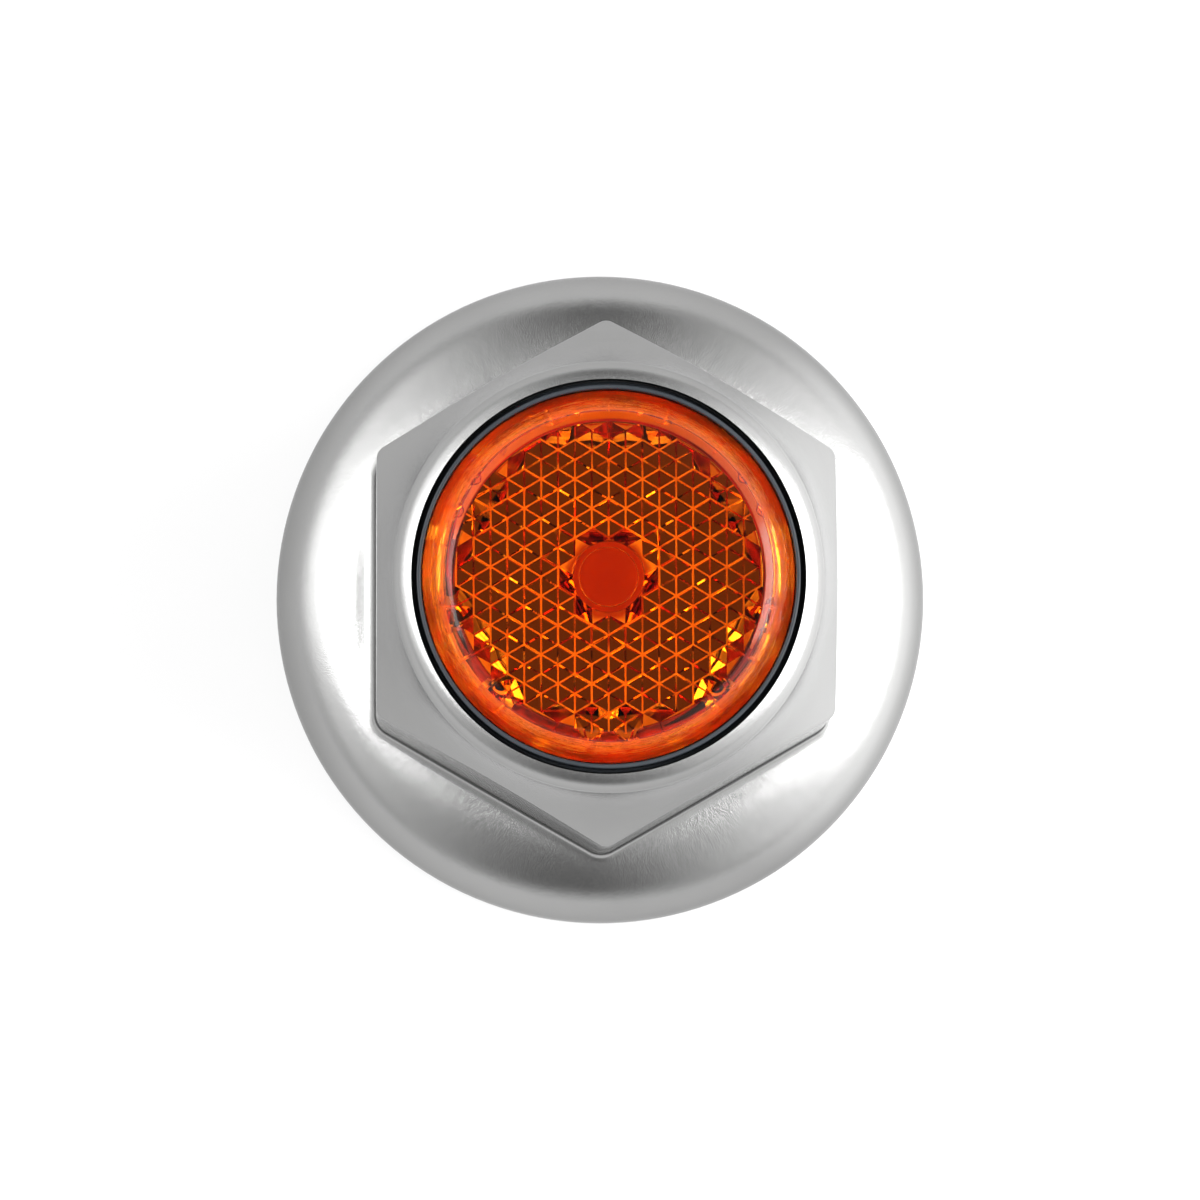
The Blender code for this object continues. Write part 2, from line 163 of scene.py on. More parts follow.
# Where the reflector's looks change
STREAK_INNER_RADIUS = 12.8   # the lens's streaks fade in from here
STREAK_OUTER_RADIUS = 13.1   # to here
STREAK_TURN = 1.4            # noise that a streak runs through in a radian
WELD_INNER_RADIUS = LENS_RIM_RADIUS
WELD_OUTER_RADIUS = 12.2
# the painted shade behind the boss reaches this far from the axis
BOSS_SHADE_RADIUS = 3.6
CUP_INSIDE_DEPTH = 0.4       # the cup's inside colour reaches this far below its floor
CUP_OUTSIDE_DEPTH = 0.8      # and the outside colour is full from here down

# Band, leaf springs and rivets
BAND_STOCK = 0.5
BAND_LIP_APOTHEM = 16.95
BAND_WEB_APOTHEM = 16.35
BAND_CORNER = 2.0
BAND_EASE = 0.14
LEAF_STOCK = 0.4
LEAF_WIDTH = high("leaf_spring_1").y - low("leaf_spring_1").y
LEAF_ROOT_APOTHEM = low("leaf_spring_1").x + LEAF_STOCK / 2
LEAF_CORNER = 1.6
LEAF_EASE = 0.1
LEAF_ROWS = 90
LEAF_TOP = 3.2
LEAF_BEND = -3.9
LEAF_HEEL = -10.0
LEAF_GRIP = -18.0
LEAF_TIP = -21.5
LEAF_HEEL_APOTHEM = 16.4
LEAF_GRIP_APOTHEM = 15.9
RIVET_Z = (low("rivet_1a").z + high("rivet_1a").z) / 2
RIVET_SPACING = 5.0
RIVET_RADIUS = 0.8
RIVET_HEAD_RADIUS = 1.5
RIVET_HEAD_HEIGHT = 0.5
RIVET_TAIL_RADIUS = 1.3
RIVET_TAIL_HEIGHT = 0.35
RIVET_HOLE_RADIUS = RIVET_RADIUS + GAP
RIVET_HOLE_DEPTH = 4.0
RIVET_SEGMENTS = 40

# How deep the finest relief is
GRAIN_DEPTH = 0.05
FLANK_STREAK_DEPTH = 0.2
SPARK_DEPTH = 0.02

# Light: strengths of a white world, and where they change, as cosines of the heading from
# the named side or as sines of the elevation
TENT_LEAST = 0.2             # towards the front and the back
TENT_SIDES = 3.1             # more than that towards the sides
TENT_POWER = 1.7
DIM_HEADING = (-0.731, -0.682)
DIM_START = 0.70
DIM_FULL = 0.88
DIM_SHARE = 0.52
SWEEP_LEAST = 0.8
SWEEP_RIGHT = 1.8            # more than that towards the right
SWEEP_TOP = 0.30
SWEEP_FOOT = 0.04
SWEEP_RIGHT_START = 0.5
SWEEP_RIGHT_FULL = 0.95
BOX_TOP_START = 0.955
BOX_TOP_END = 0.985
BOX_FOOT_EASE = 0.08
# each soft box's edge and core towards the right, its foot and its strength
SOFT_BOXES = ((0.92, 0.96, 0.1, 9.0), (-0.92, -0.96, 0.58, 6.0))
# the roof and the hole in it: outer and inner angle from straight up, and strength
OVERHEAD = ((27, 17, 0.6), (8, 5, 0.15))

# Floor and camera
FLOOR_RADIUS = 4000.0
FLOOR_SEGMENTS = 96
FLOOR_DROP = 0.05
FLOOR_GLOW = 0.78
# painted pool of light: the floor glows this much more to the right of the cover
PAINTED_POOL_GLOW = 1.1       # more than that to the right of the cover
GLOW_INNER_RADIUS = 18.0
GLOW_OUTER_RADIUS = 42.0
GLOW_RIGHT_START = 0.5
GLOW_RIGHT_FULL = 0.9
CAMERA_PLACE = (-11.65, -31.56, 1000.0)
CAMERA_REACH = 20000.0
SENSOR_WIDTH = 36.0
VIEW_WIDTH = 98.36           # what the picture spans at the origin


# --- Node helpers --------------------------------------------------------------------------

class Nodes:
    """A material or world node tree with short ways to add and link nodes."""

    def __init__(self, tree):
        self.tree = tree

    def add(self, kind, inputs=None, **settings):
        """A node of one kind, with its settings and what goes into its inputs."""
        node = self.tree.nodes.new(kind)
        for name, value in settings.items():
            setattr(node, name, value)
        for name, value in (inputs or {}).items():
            self.put(value, node.inputs[name])
        return node

    def put(self, value, socket):
        """Link an output to a socket, or set a plain value there."""
        if isinstance(value, bpy.types.NodeSocket):
            self.tree.links.new(value, socket)
        else:
            socket.default_value = value

    def math(self, operation, *values):
        """Result of one step of arithmetic."""
        node = self.tree.nodes.new("ShaderNodeMath")
        node.operation = operation
        for socket, value in zip(node.inputs, values):
            self.put(value, socket)
        return node.outputs[0]

    def ramp(self, value, start, end, to_start=0.0, to_end=1.0):
        """Smooth step of a value between start and end, scaled to another range."""
        node = self.add("ShaderNodeMapRange", {
            "Value": value, "From Min": start, "From Max": end,
            "To Min": to_start, "To Max": to_end}, interpolation_type="SMOOTHSTEP")
        return node.outputs["Result"]

    def noise(self, vector, scale, detail=3.0, roughness=0.5):
        """Fractal noise about 0.5."""
        return self.add("ShaderNodeTexNoise", {
            "Vector": vector, "Scale": scale, "Detail": detail,
            "Roughness": roughness}).outputs["Fac"]

    def mix(self, factor, first, second):
        """One colour fading into another as the factor goes from 0 to 1."""
        node = self.add("ShaderNodeMix", data_type="RGBA")
        sockets = {socket.identifier: socket for socket in node.inputs}
        self.put(factor, sockets["Factor_Float"])
        self.put(first, sockets["A_Color"])
        self.put(second, sockets["B_Color"])
        return next(o for o in node.outputs if o.identifier == "Result_Color")

    def blend_levels(self, level, other, share):
        """One level fading into another as share goes from 0 to 1."""
        return self.math("MULTIPLY_ADD", share, self.math("SUBTRACT", other, level), level)


def new_material(name):
    """An empty Principled material, its node helper and its shader."""
    material = bpy.data.materials.new(name)
    material.use_nodes = True
    nodes = Nodes(material.node_tree)
    return material, nodes, material.node_tree.nodes["Principled BSDF"]


def object_place(nodes):
    """Position on the piece itself, in metres."""
    return nodes.add("ShaderNodeTexCoord").outputs["Object"]


def bump(nodes, shader, height, strength, depth):
    """Give a shader fine relief of a depth in millimetres."""
    node = nodes.add("ShaderNodeBump", {"Height": height, "Strength": strength,
                                        "Distance": depth * MM})
    nodes.put(node.outputs["Normal"], shader.inputs["Normal"])


def round_the_axis(nodes, position):
    """X, Y and Z of a position, and its distance from the cover's axis."""
    x, y, z = nodes.add("ShaderNodeSeparateXYZ", {"Vector": position}).outputs
    radius = nodes.math("SQRT", nodes.math("MULTIPLY_ADD", x, x, nodes.math("MULTIPLY", y, y)))
    return x, y, z, radius


def meridian(nodes, position, along):
    """Coordinate for grain that runs along the cover's profile: fine around, slow along."""
    x, y, z, radius = round_the_axis(nodes, position)
    reach = nodes.math("DIVIDE", 1.0, nodes.math("MAXIMUM", radius, LEAST_RADIUS))
    joined = nodes.add("ShaderNodeCombineXYZ", {
        "X": nodes.math("MULTIPLY", x, reach), "Y": nodes.math("MULTIPLY", y, reach),
        "Z": nodes.math("MULTIPLY", nodes.math("SUBTRACT", z, radius), along)})
    return joined.outputs["Vector"]


def ring_streaks(nodes, position, scale):
    """Noise drawn out into long streaks around the cover's axis."""
    x, y, z, radius = round_the_axis(nodes, position)
    around = nodes.math("MULTIPLY", nodes.math("ARCTAN2", y, x), STREAK_TURN * MM)
    drawn = nodes.add("ShaderNodeCombineXYZ", {"X": radius, "Y": z, "Z": around})
    return nodes.noise(drawn.outputs["Vector"], scale, 4.0, 0.65)


# --- Materials -----------------------------------------------------------------------------

def stainless():
    """Bright drawn stainless: faint grain along the draw, soft smudges, fine pits."""
    material, nodes, shader = new_material("stainless_shell")
    place = object_place(nodes)
    grain = nodes.noise(meridian(nodes, place, 6.0), 420.0, 4.0, 0.6)
    smudge = nodes.noise(place, 90.0, 3.0, 0.55)
    pits = nodes.noise(place, 900.0, 2.0, 0.5)
    grain_rough = nodes.math("MULTIPLY", nodes.math("SUBTRACT", grain, 0.5), 0.07)
    nodes.put(nodes.math("ADD", nodes.ramp(smudge, 0.35, 0.75, 0.17, 0.25), grain_rough),
              shader.inputs["Roughness"])
    nodes.put(nodes.mix(nodes.ramp(smudge, 0.3, 0.8), (0.355, 0.355, 0.352, 1),
                        (0.33, 0.33, 0.327, 1)), shader.inputs["Base Color"])
    shader.inputs["Metallic"].default_value = 1.0
    shader.inputs["Specular Tint"].default_value = (0.65, 0.65, 0.65, 1)
    bump(nodes, shader, nodes.math("MULTIPLY_ADD", pits, 0.9, grain), 0.3, GRAIN_DEPTH)
    return material


def amber():
    """Clear amber acrylic: its colour comes from its depth, and its flank is streaked
    around the axis."""
    material, nodes, shader = new_material("amber_acrylic")
    place = object_place(nodes)
    shader.inputs["Base Color"].default_value = (1.0, 0.93, 0.82, 1)
    shader.inputs["Transmission Weight"].default_value = 1.0
    shader.inputs["IOR"].default_value = 1.49
    shader.inputs["Specular Tint"].default_value = (0.5, 0.5, 0.5, 1)
    nodes.put(nodes.ramp(nodes.noise(place, 260.0), 0.4, 0.8, 0.0, 0.03),
              shader.inputs["Roughness"])
    absorb = nodes.add("ShaderNodeVolumeAbsorption")
    absorb.inputs["Color"].default_value = (0.985, 0.7, 0.03, 1)
    absorb.inputs["Density"].default_value = 760.0
    output = material.node_tree.nodes["Material Output"]
    nodes.put(absorb.outputs["Volume"], output.inputs["Volume"])
    radius = round_the_axis(nodes, place)[3]
    flank = nodes.ramp(radius, STREAK_INNER_RADIUS * MM, STREAK_OUTER_RADIUS * MM)
    streaks = nodes.math("MULTIPLY", ring_streaks(nodes, place, 2600.0), flank)
    bump(nodes, shader, streaks, 0.8, FLANK_STREAK_DEPTH)
    return material


def orange_cup():
    """Orange moulding: pale inside with a painted shade of dark red behind the boss, streaked
    deep red where the lens is welded on, and plain orange underneath."""
    material, nodes, shader = new_material("orange_plastic")
    place = object_place(nodes)
    z, radius = round_the_axis(nodes, place)[2:]
    floor_z = cup_levels()[0] + CUP_FLOOR
    weld = nodes.ramp(radius, WELD_INNER_RADIUS * MM, WELD_OUTER_RADIUS * MM)
    underneath = nodes.ramp(z, (floor_z - CUP_INSIDE_DEPTH) * MM,
                            (floor_z - CUP_OUTSIDE_DEPTH) * MM)
    # painted shade: the inside turns dark red behind the boss
    painted_boss_shade = nodes.ramp(radius, BOSS_SHADE_RADIUS * MM, BOSS_RADIUS * MM)
    cloud = nodes.ramp(nodes.noise(place, 300.0, 3.0), 0.3, 0.7)
    streaks = nodes.ramp(ring_streaks(nodes, place, 1300.0), 0.38, 0.6)
    pale = nodes.mix(cloud, (0.95, 0.66, 0.2, 1), (0.97, 0.74, 0.28, 1))
    deep = nodes.mix(streaks, (0.09, 0.003, 0.0004, 1), (0.68, 0.05, 0.004, 1))
    outside = nodes.mix(cloud, (0.7, 0.2, 0.03, 1), (0.78, 0.25, 0.04, 1))
    inside = nodes.mix(painted_boss_shade, pale, (0.42, 0.085, 0.008, 1))
    nodes.put(nodes.mix(underneath, nodes.mix(weld, inside, deep), outside),
              shader.inputs["Base Color"])
    shader.inputs["Roughness"].default_value = 0.5
    bump(nodes, shader, nodes.noise(place, 1400.0, 4.0, 0.6), 0.25, SPARK_DEPTH)
    return material


def moulded(name, colour, lighter, roughness, shine=0.5):
    """Moulded plastic or rubber: cloudy colour and a fine sparked grain."""
    material, nodes, shader = new_material(name)
    place = object_place(nodes)
    cloud = nodes.noise(place, 120.0, 3.0)
    fine = nodes.noise(place, 1400.0, 4.0, 0.6)
    nodes.put(nodes.mix(nodes.ramp(cloud, 0.3, 0.7), (*colour, 1), (*lighter, 1)),
              shader.inputs["Base Color"])
    nodes.put(nodes.ramp(fine, 0.3, 0.7, roughness - 0.06, roughness + 0.06),
              shader.inputs["Roughness"])
    shader.inputs["Specular IOR Level"].default_value = shine
    bump(nodes, shader, fine, 0.25, SPARK_DEPTH)
    return material


def rolled_steel(name, colour, darker, roughness):
    """Rolled spring steel or plated rivets: streaked, slightly stained."""
    material, nodes, shader = new_material(name)
    place = object_place(nodes)
    stretch = nodes.add("ShaderNodeMapping", {"Vector": place, "Scale": (1.0, 1.0, 0.12)})
    streak = nodes.noise(stretch.outputs["Vector"], 1500.0, 3.0, 0.6)
    stain = nodes.noise(place, 240.0, 4.0, 0.6)
    nodes.put(nodes.mix(nodes.ramp(stain, 0.35, 0.7), (*colour, 1), (*darker, 1)),
              shader.inputs["Base Color"])
    shader.inputs["Metallic"].default_value = 1.0
    nodes.put(nodes.ramp(streak, 0.3, 0.7, roughness - 0.07, roughness + 0.08),
              shader.inputs["Roughness"])
    bump(nodes, shader, streak, 0.2, SPARK_DEPTH)
    return material


# --- Mesh helpers --------------------------------------------------------------------------

def linked(name, data):
    """Object for a mesh or a camera, linked into the scene."""
    piece = bpy.data.objects.new(name, data)
    bpy.context.scene.collection.objects.link(piece)
    return piece


def finish_piece(name, mesh, material, body, node, smooth_angle=30.0):
    """Link a piece, shade it, put it on its body and let it stand for its CAD node."""
    mesh.materials.append(material)
    mesh.shade_smooth()
    mesh.set_sharp_from_angle(angle=math.radians(smooth_angle))
    piece = linked(name, mesh)
    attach(piece, body)
    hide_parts(node)


def mesh_from_bmesh(name, bm):
    """Mesh in metres from a bmesh in millimetres, with its faces outwards."""
    bmesh.ops.remove_doubles(bm, verts=bm.verts, dist=SAME_POINT)
    bmesh.ops.recalc_face_normals(bm, faces=bm.faces)
    bmesh.ops.scale(bm, vec=(MM, MM, MM), verts=bm.verts)
    mesh = bpy.data.meshes.new(name)
    bm.to_mesh(mesh)
    bm.free()
    return mesh


def grid(name, rows, ring=True):
    """Skin of a grid of points (rows, columns, 3): columns close on themselves, and rows
    do too in a ring; otherwise the first and last row are capped."""
    rows = np.asarray(rows)
    bm = bmesh.new()
    verts = [[bm.verts.new(point) for point in row] for row in rows]
    pairs = list(zip(verts, verts[1:]))
    if ring:
        pairs.append((verts[-1], verts[0]))
    else:
        bm.faces.new(verts[0])
        bm.faces.new(verts[-1])
    for lower, upper in pairs:
        for i in range(len(lower)):
            j = (i + 1) % len(lower)
            bm.faces.new((lower[i], lower[j], upper[j], upper[i]))
    return mesh_from_bmesh(name, bm)


def eased(outline, ease, closed=True, steps=3):
    """Round each corner of an outline with a short curve; an open one keeps its ends."""
    points = [Vector(point) for point in outline]
    count = len(points)
    smooth = []
    for i, point in enumerate(points):
        if not closed and i in (0, count - 1):
            smooth.append(tuple(point))
            continue
        before = points[i - 1] - point
        after = points[(i + 1) % count] - point
        reach = min(ease, before.length * EASE_SHARE, after.length * EASE_SHARE)
        start = point + before.normalized() * reach
        end = point + after.normalized() * reach
        for step in range(steps + 1):
            share = step / steps
            smooth.append(tuple(start.lerp(point, share).lerp(point.lerp(end, share), share)))
    return smooth


def turned(profile, ring=False, segments=TURNED_SEGMENTS):
    """Spin an (r, z) outline about +Z; a ring's outline closes on itself."""
    bm = bmesh.new()
    verts = [bm.verts.new((r, 0, z)) for r, z in profile]
    pairs = list(zip(verts, verts[1:]))
    if ring:
        pairs.append((verts[-1], verts[0]))
    edges = [bm.edges.new(pair) for pair in pairs]
    bmesh.ops.spin(bm, geom=verts + edges, cent=(0, 0, 0), axis=(0, 0, 1),
                   angle=2 * math.pi, steps=segments)
    return bm


def combined(mesh, tool_mesh, operation):
    """Mesh of one closed shape joined with, cut by or kept inside another."""
    shape = linked("shape", mesh)
    tool = linked("tool", tool_mesh)
    modifier = shape.modifiers.new(operation.title(), "BOOLEAN")
    modifier.operation = operation
    modifier.solver = "EXACT"
    modifier.object = tool
    depsgraph = bpy.context.evaluated_depsgraph_get()
    result = bpy.data.meshes.new_from_object(shape.evaluated_get(depsgraph))
    bpy.data.objects.remove(shape)
    bpy.data.objects.remove(tool)
    return result


def without_slivers(mesh):
    """Triangles of a mesh, less those of no area that its booleans left."""
    bm = bmesh.new()
    bm.from_mesh(mesh)
    bmesh.ops.remove_doubles(bm, verts=bm.verts, dist=SLIVER * MM)
    bmesh.ops.triangulate(bm, faces=bm.faces)
    bmesh.ops.dissolve_degenerate(bm, edges=bm.edges, dist=SLIVER * MM)
    bmesh.ops.triangulate(bm, faces=bm.faces)
    bm.to_mesh(mesh)
    bm.free()
    return mesh


# --- Shell ---------------------------------------------------------------------------------

def hexagon_columns(apothem, corner_radius):
    """Outline of a rounded hexagon with flats towards +X and -X, as an (n, 2) array."""
    points = []
    reach = (apothem - corner_radius) / math.cos(math.radians(30))
    for side in range(SIDES):
        direction = math.radians(30 + 60 * side)
        centre = np.array([math.cos(direction), math.sin(direction)]) * reach
        for step in range(CORNER_COLUMNS + 1):
            turn = direction + math.radians(-30 + 60 * step / CORNER_COLUMNS)
            points.append(centre + corner_radius * np.array([math.cos(turn), math.sin(turn)]))
        following = direction + math.radians(60)
        ahead = np.array([math.cos(following), math.sin(following)]) * reach
        normal = direction + math.radians(30)
        offset = corner_radius * np.array([math.cos(normal), math.sin(normal)])
        for step in range(1, FLAT_COLUMNS):
            share = step / FLAT_COLUMNS
            points.append((centre + offset) * (1 - share) + (ahead + offset) * share)
    return np.array(points)


def bisect(function, start, end, count):
    """Root of a falling function for each column."""
    start = np.full(count, float(start))
    end = np.full(count, float(end))
    for _ in range(HALVINGS):
        middle = (start + end) / 2
        above = function(middle) > 0
        start = np.where(above, middle, start)
        end = np.where(above, end, middle)
    return (start + end) / 2


def spaced(count, density):
    """Evenly spaced shares from 0 to 1."""
    return np.linspace(0, 1, max(3, int(count * density)) + 1)


def ring_row(r, z, turn):
    """A row of points at given radii, heights and turns about the axis."""
    return np.stack([r * np.cos(turn), r * np.sin(turn), np.broadcast_to(z, turn.shape)], -1)


def dome(turn, shrink):
    """Flange points as (r, z), and their outward normals, at turns up from the rim."""
    width, height = DOME_WIDTH - shrink, DOME_HEIGHT - shrink
    normal = np.stack([np.cos(turn) / width, np.sin(turn) / height])
    normal /= np.linalg.norm(normal, axis=0)
    point = np.stack([RIM_RADIUS - DOME_WIDTH + width * np.cos(turn),
                      RIM_HEIGHT + height * np.sin(turn)])
    return point, normal


def flare(drop, shrink):
    """Nose points as (r, z), and their outward normals, at drops below the shoulder."""
    slope = FLARE_RATE * FLARE_POWER * drop ** (FLARE_POWER - 1)
    normal = np.stack([np.ones_like(slope), slope]) / np.hypot(1, slope)
    point = np.stack([NOSE_RADIUS + FLARE_RATE * drop ** FLARE_POWER, SHOULDER_Z - drop])
    return point - shrink * normal, normal


def shell_surface(shrink, fillet, edge, density):
    """Rows from rim to opening of the shell's outside, or of its inside at a shrink."""
    base = hexagon_columns(HEX_BASE_APOTHEM - shrink, HEX_BASE_CORNER - shrink)
    top = hexagon_columns(HEX_TOP_APOTHEM - shrink, max(HEX_TOP_CORNER - shrink, LEAST_CORNER))
    count = len(base)

    def wall_point(z):
        share = ((z - HEX_BASE_Z) / (HEX_TOP_Z - HEX_BASE_Z))[:, None]
        return base * (1 - share) + top * share

    # where the wall meets the flange, and where it meets the flare
    foot_z = np.full(count, FOOT_GUESS_Z)
    crest_z = np.full(count, CREST_GUESS_Z)
    for _ in range(SEARCH_ROUNDS):
        foot = wall_point(foot_z)
        foot_r = np.hypot(*foot.T)
        turn = bisect(lambda t: (dome(t, shrink)[0] + fillet * dome(t, shrink)[1])[0]
                      - foot_r - fillet, 0, math.pi / 2, count)
        dome_point, dome_normal = dome(turn, shrink)
        foot_z = dome_point[1] + fillet * dome_normal[1]
        crest = wall_point(crest_z)
        crest_r = np.hypot(*crest.T)
        drop = bisect(lambda d: crest_r - edge
                      - (flare(d, shrink)[0] - edge * flare(d, shrink)[1])[0],
                      0, FLARE_DROP, count)
        flare_point, flare_normal = flare(drop, shrink)
        crest_z = flare_point[1] - edge * flare_normal[1]
    foot_turn = np.arctan2(foot[:, 1], foot[:, 0])
    crest_turn = np.arctan2(crest[:, 1], crest[:, 0])

    rows = [ring_row(*dome(turn * share, shrink)[0], foot_turn)
            for share in spaced(DOME_ROWS, density)[:-1]]
    start = np.arctan2(-dome_normal[1], -dome_normal[0])
    for share in spaced(FILLET_ROWS, density)[:-1]:
        heading = start * (1 - share) - math.pi * share
        rows.append(ring_row(foot_r + fillet + fillet * np.cos(heading),
                             foot_z + fillet * np.sin(heading), foot_turn))
    lower = np.concatenate([foot, foot_z[:, None]], 1)
    upper = np.concatenate([crest, crest_z[:, None]], 1)
    rows += [lower * (1 - share) + upper * share
             for share in spaced(WALL_ROWS, density)[:-1]]
    end = np.arctan2(flare_normal[1], flare_normal[0])
    for share in spaced(EDGE_ROWS, density)[:-1]:
        rows.append(ring_row(crest_r - edge + edge * np.cos(end * share),
                             crest_z + edge * np.sin(end * share), crest_turn))
    rows += [ring_row(*flare(drop * (1 - share), shrink)[0], crest_turn)
             for share in spaced(FLARE_ROWS, density)[:-1]]
    roll_centre = NOSE_RADIUS - SHOULDER_ROLL
    roll = SHOULDER_ROLL - shrink
    opening = OPENING_RADIUS if shrink else OPENING_RADIUS + OPENING_EASE
    finish = math.acos((opening - roll_centre) / roll)
    for share in spaced(ROLL_ROWS, density):
        rows.append(ring_row(np.full(count, roll_centre + roll * math.cos(finish * share)),
                             SHOULDER_Z + roll * math.sin(finish * share), crest_turn))
    return rows, foot_turn


def cover_shell(material):
    """One closed skin: outside up to the opening, round its edge, and down the inside."""
    outer, foot_turn = shell_surface(0.0, FILLET_RADIUS, EDGE_RADIUS, 1.0)
    inner, inner_turn = shell_surface(WALL, INNER_FILLET, INNER_EDGE, INSIDE_DENSITY)
    lip = [(RIM_RADIUS - WALL + LIP_INNER_EASE, 0.0), (RIM_RADIUS - LIP_OUTER_EASE, 0.0),
           (RIM_RADIUS - LIP_OUTER_MIDDLE, LIP_OUTER_MIDDLE), (RIM_RADIUS, LIP_OUTER_EASE)]
    rim = [ring_row(np.full(len(inner_turn), RIM_RADIUS - WALL), LIP_INNER_EASE, inner_turn)]
    rim += [ring_row(np.full(len(foot_turn), r), z, foot_turn) for r, z in lip]
    mesh = grid("drawn_shell", rim + outer + inner[::-1])
    finish_piece("drawn_shell", mesh, material, "cover", "cover_shell")


# --- Reflector -----------------------------------------------------------------------------

def prism_block():
    """Sheet of cube-corner prisms with slightly worn edges, trimmed to a round field with
    a clear middle; prisms beside the rim or the middle miss some of their three faces."""
    side = PRISM_PITCH / math.sqrt(3)
    step = side / math.sqrt(2)
    crest = LENS_BACK_Z - PRISM_CREST_DROP
    bm = bmesh.new()
    count = int(PRISM_FIELD_RADIUS / PRISM_PITCH) + 2
    for row in range(-count, count + 1):
        for column in range(-count, count + 1):
            centre = Vector(((column + row / 2) * PRISM_PITCH,
                             row * PRISM_PITCH * math.sqrt(3) / 2))
            ring = []
            for k in range(SIDES):
                turn = math.radians(30 + 60 * k)
                level = crest if k % 2 else crest - step
                ring.append((centre.x + side * math.cos(turn),
                             centre.y + side * math.sin(turn), level))
            tip = (centre.x, centre.y, crest - 2 * step)
            for k in range(0, SIDES, 2):
                corners = (tip, ring[k], ring[(k + 1) % SIDES], ring[(k + 2) % SIDES])
                middle = Vector(tip).lerp(ring[(k + 1) % SIDES], 0.5).to_2d().length
                if not PRISM_CLEAR_RADIUS < middle < PRISM_OUTER_RADIUS:
                    continue
                bm.faces.new([bm.verts.new(corner) for corner in corners])
    bmesh.ops.remove_doubles(bm, verts=bm.verts, dist=PRISM_JOIN)
    inner = [edge for edge in bm.edges if len(edge.link_faces) == 2]
    bmesh.ops.bevel(bm, geom=inner, offset=PRISM_EDGE, segments=1, affect="EDGES")
    grown = bmesh.ops.extrude_face_region(bm, geom=bm.faces[:])
    for item in grown["geom"]:
        if isinstance(item, bmesh.types.BMVert):
            item.co.z = LENS_BACK_Z + PRISM_ROOT
    field = turned([(0, LENS_TOP_Z), (PRISM_FIELD_RADIUS, LENS_TOP_Z),
                    (PRISM_FIELD_RADIUS, BOSS_Z), (0, BOSS_Z)])
    return combined(mesh_from_bmesh("prisms", bm), mesh_from_bmesh("field", field),
                    "INTERSECT")


def reflector_lens(material):
    """Window with a rolled shoulder and steep flank, prisms and a grooved boss behind."""
    shoulder_z = LENS_TOP_Z - LENS_SHOULDER
    crown = [(WINDOW_RADIUS + LENS_SHOULDER * math.sin(t),
              shoulder_z + LENS_SHOULDER * math.cos(t))
             for t in np.linspace(0, FLANK_ANGLE, ROUND_STEPS)]
    run = LENS_RADIUS - crown[-1][0]
    groove_z = BOSS_Z + BOSS_GROOVE_DEPTH
    back = eased([crown[-1], (LENS_RADIUS, crown[-1][1] - run * math.tan(FLANK_ANGLE)),
                  (LENS_RADIUS, LENS_FOOT_Z), (LENS_RIM_RADIUS, LENS_FOOT_Z),
                  (LENS_RIM_RADIUS, LENS_BACK_Z), (BOSS_RADIUS, LENS_BACK_Z),
                  (BOSS_RADIUS, BOSS_Z), (BOSS_GROOVE_RADIUS, BOSS_Z),
                  (BOSS_GROOVE_RADIUS, groove_z), (0, groove_z)], LENS_EASE, closed=False)
    mesh = mesh_from_bmesh("prism_lens", turned([(0, LENS_TOP_Z)] + crown + back[1:],
                                                segments=LENS_SEGMENTS))
    mesh = without_slivers(combined(mesh, prism_block(), "UNION"))
    finish_piece("prism_lens", mesh, material, "cover", "reflector_lens",
                 smooth_angle=18)


def cup_levels():
    """Heights of the cup: underside, flange underside and flange top."""
    top = LENS_FOOT_Z - GAP
    return HOUSING_BASE_Z + HOUSING_LIP + GAP, top - CUP_FLANGE_HEIGHT, top


def reflector_housing(material):
    """Barrel round the cup: bezel on top, collar outside, lip under the cup."""
    seat = cup_levels()[1] - GAP
    pocket = CUP_RADIUS + GAP
    collar_base = COLLAR_TOP_Z - COLLAR_HEIGHT
    lip_top = HOUSING_BASE_Z + HOUSING_LIP
    outline = [(BEZEL_RADIUS, BEZEL_TOP_Z), (BEZEL_RADIUS, COLLAR_TOP_Z),
               (COLLAR_RADIUS, COLLAR_TOP_Z), (COLLAR_RADIUS, collar_base),
               (HOUSING_RADIUS, collar_base), (HOUSING_RADIUS, HOUSING_BASE_Z),
               (pocket - HOUSING_LIP, HOUSING_BASE_Z), (pocket - HOUSING_LIP, lip_top),
               (pocket, lip_top), (pocket, seat), (BEZEL_SEAT_RADIUS, seat),
               (BEZEL_SEAT_RADIUS, BEZEL_TOP_Z)]
    mesh = mesh_from_bmesh("bezel_housing", turned(eased(outline, HOUSING_EASE), ring=True))
    finish_piece("bezel_housing", mesh, material, "cover",
                 "reflector_housing", smooth_angle=40)


def reflector_cup(material):
    """Closed cup behind the prisms, with the flange that carries the lens."""
    base, flange_base, top = cup_levels()
    inside = CUP_RADIUS - CUP_WALL
    outline = [(0, base + CUP_FLOOR), (inside, base + CUP_FLOOR), (inside, top),
               (LENS_RADIUS, top), (LENS_RADIUS, flange_base), (CUP_RADIUS, flange_base),
               (CUP_RADIUS, base), (0, base)]
    mesh = mesh_from_bmesh("orange_cup", turned(eased(outline, CUP_EASE, closed=False)))
    finish_piece("orange_cup", mesh, material, "cover",
                 "reflector_cup", smooth_angle=40)


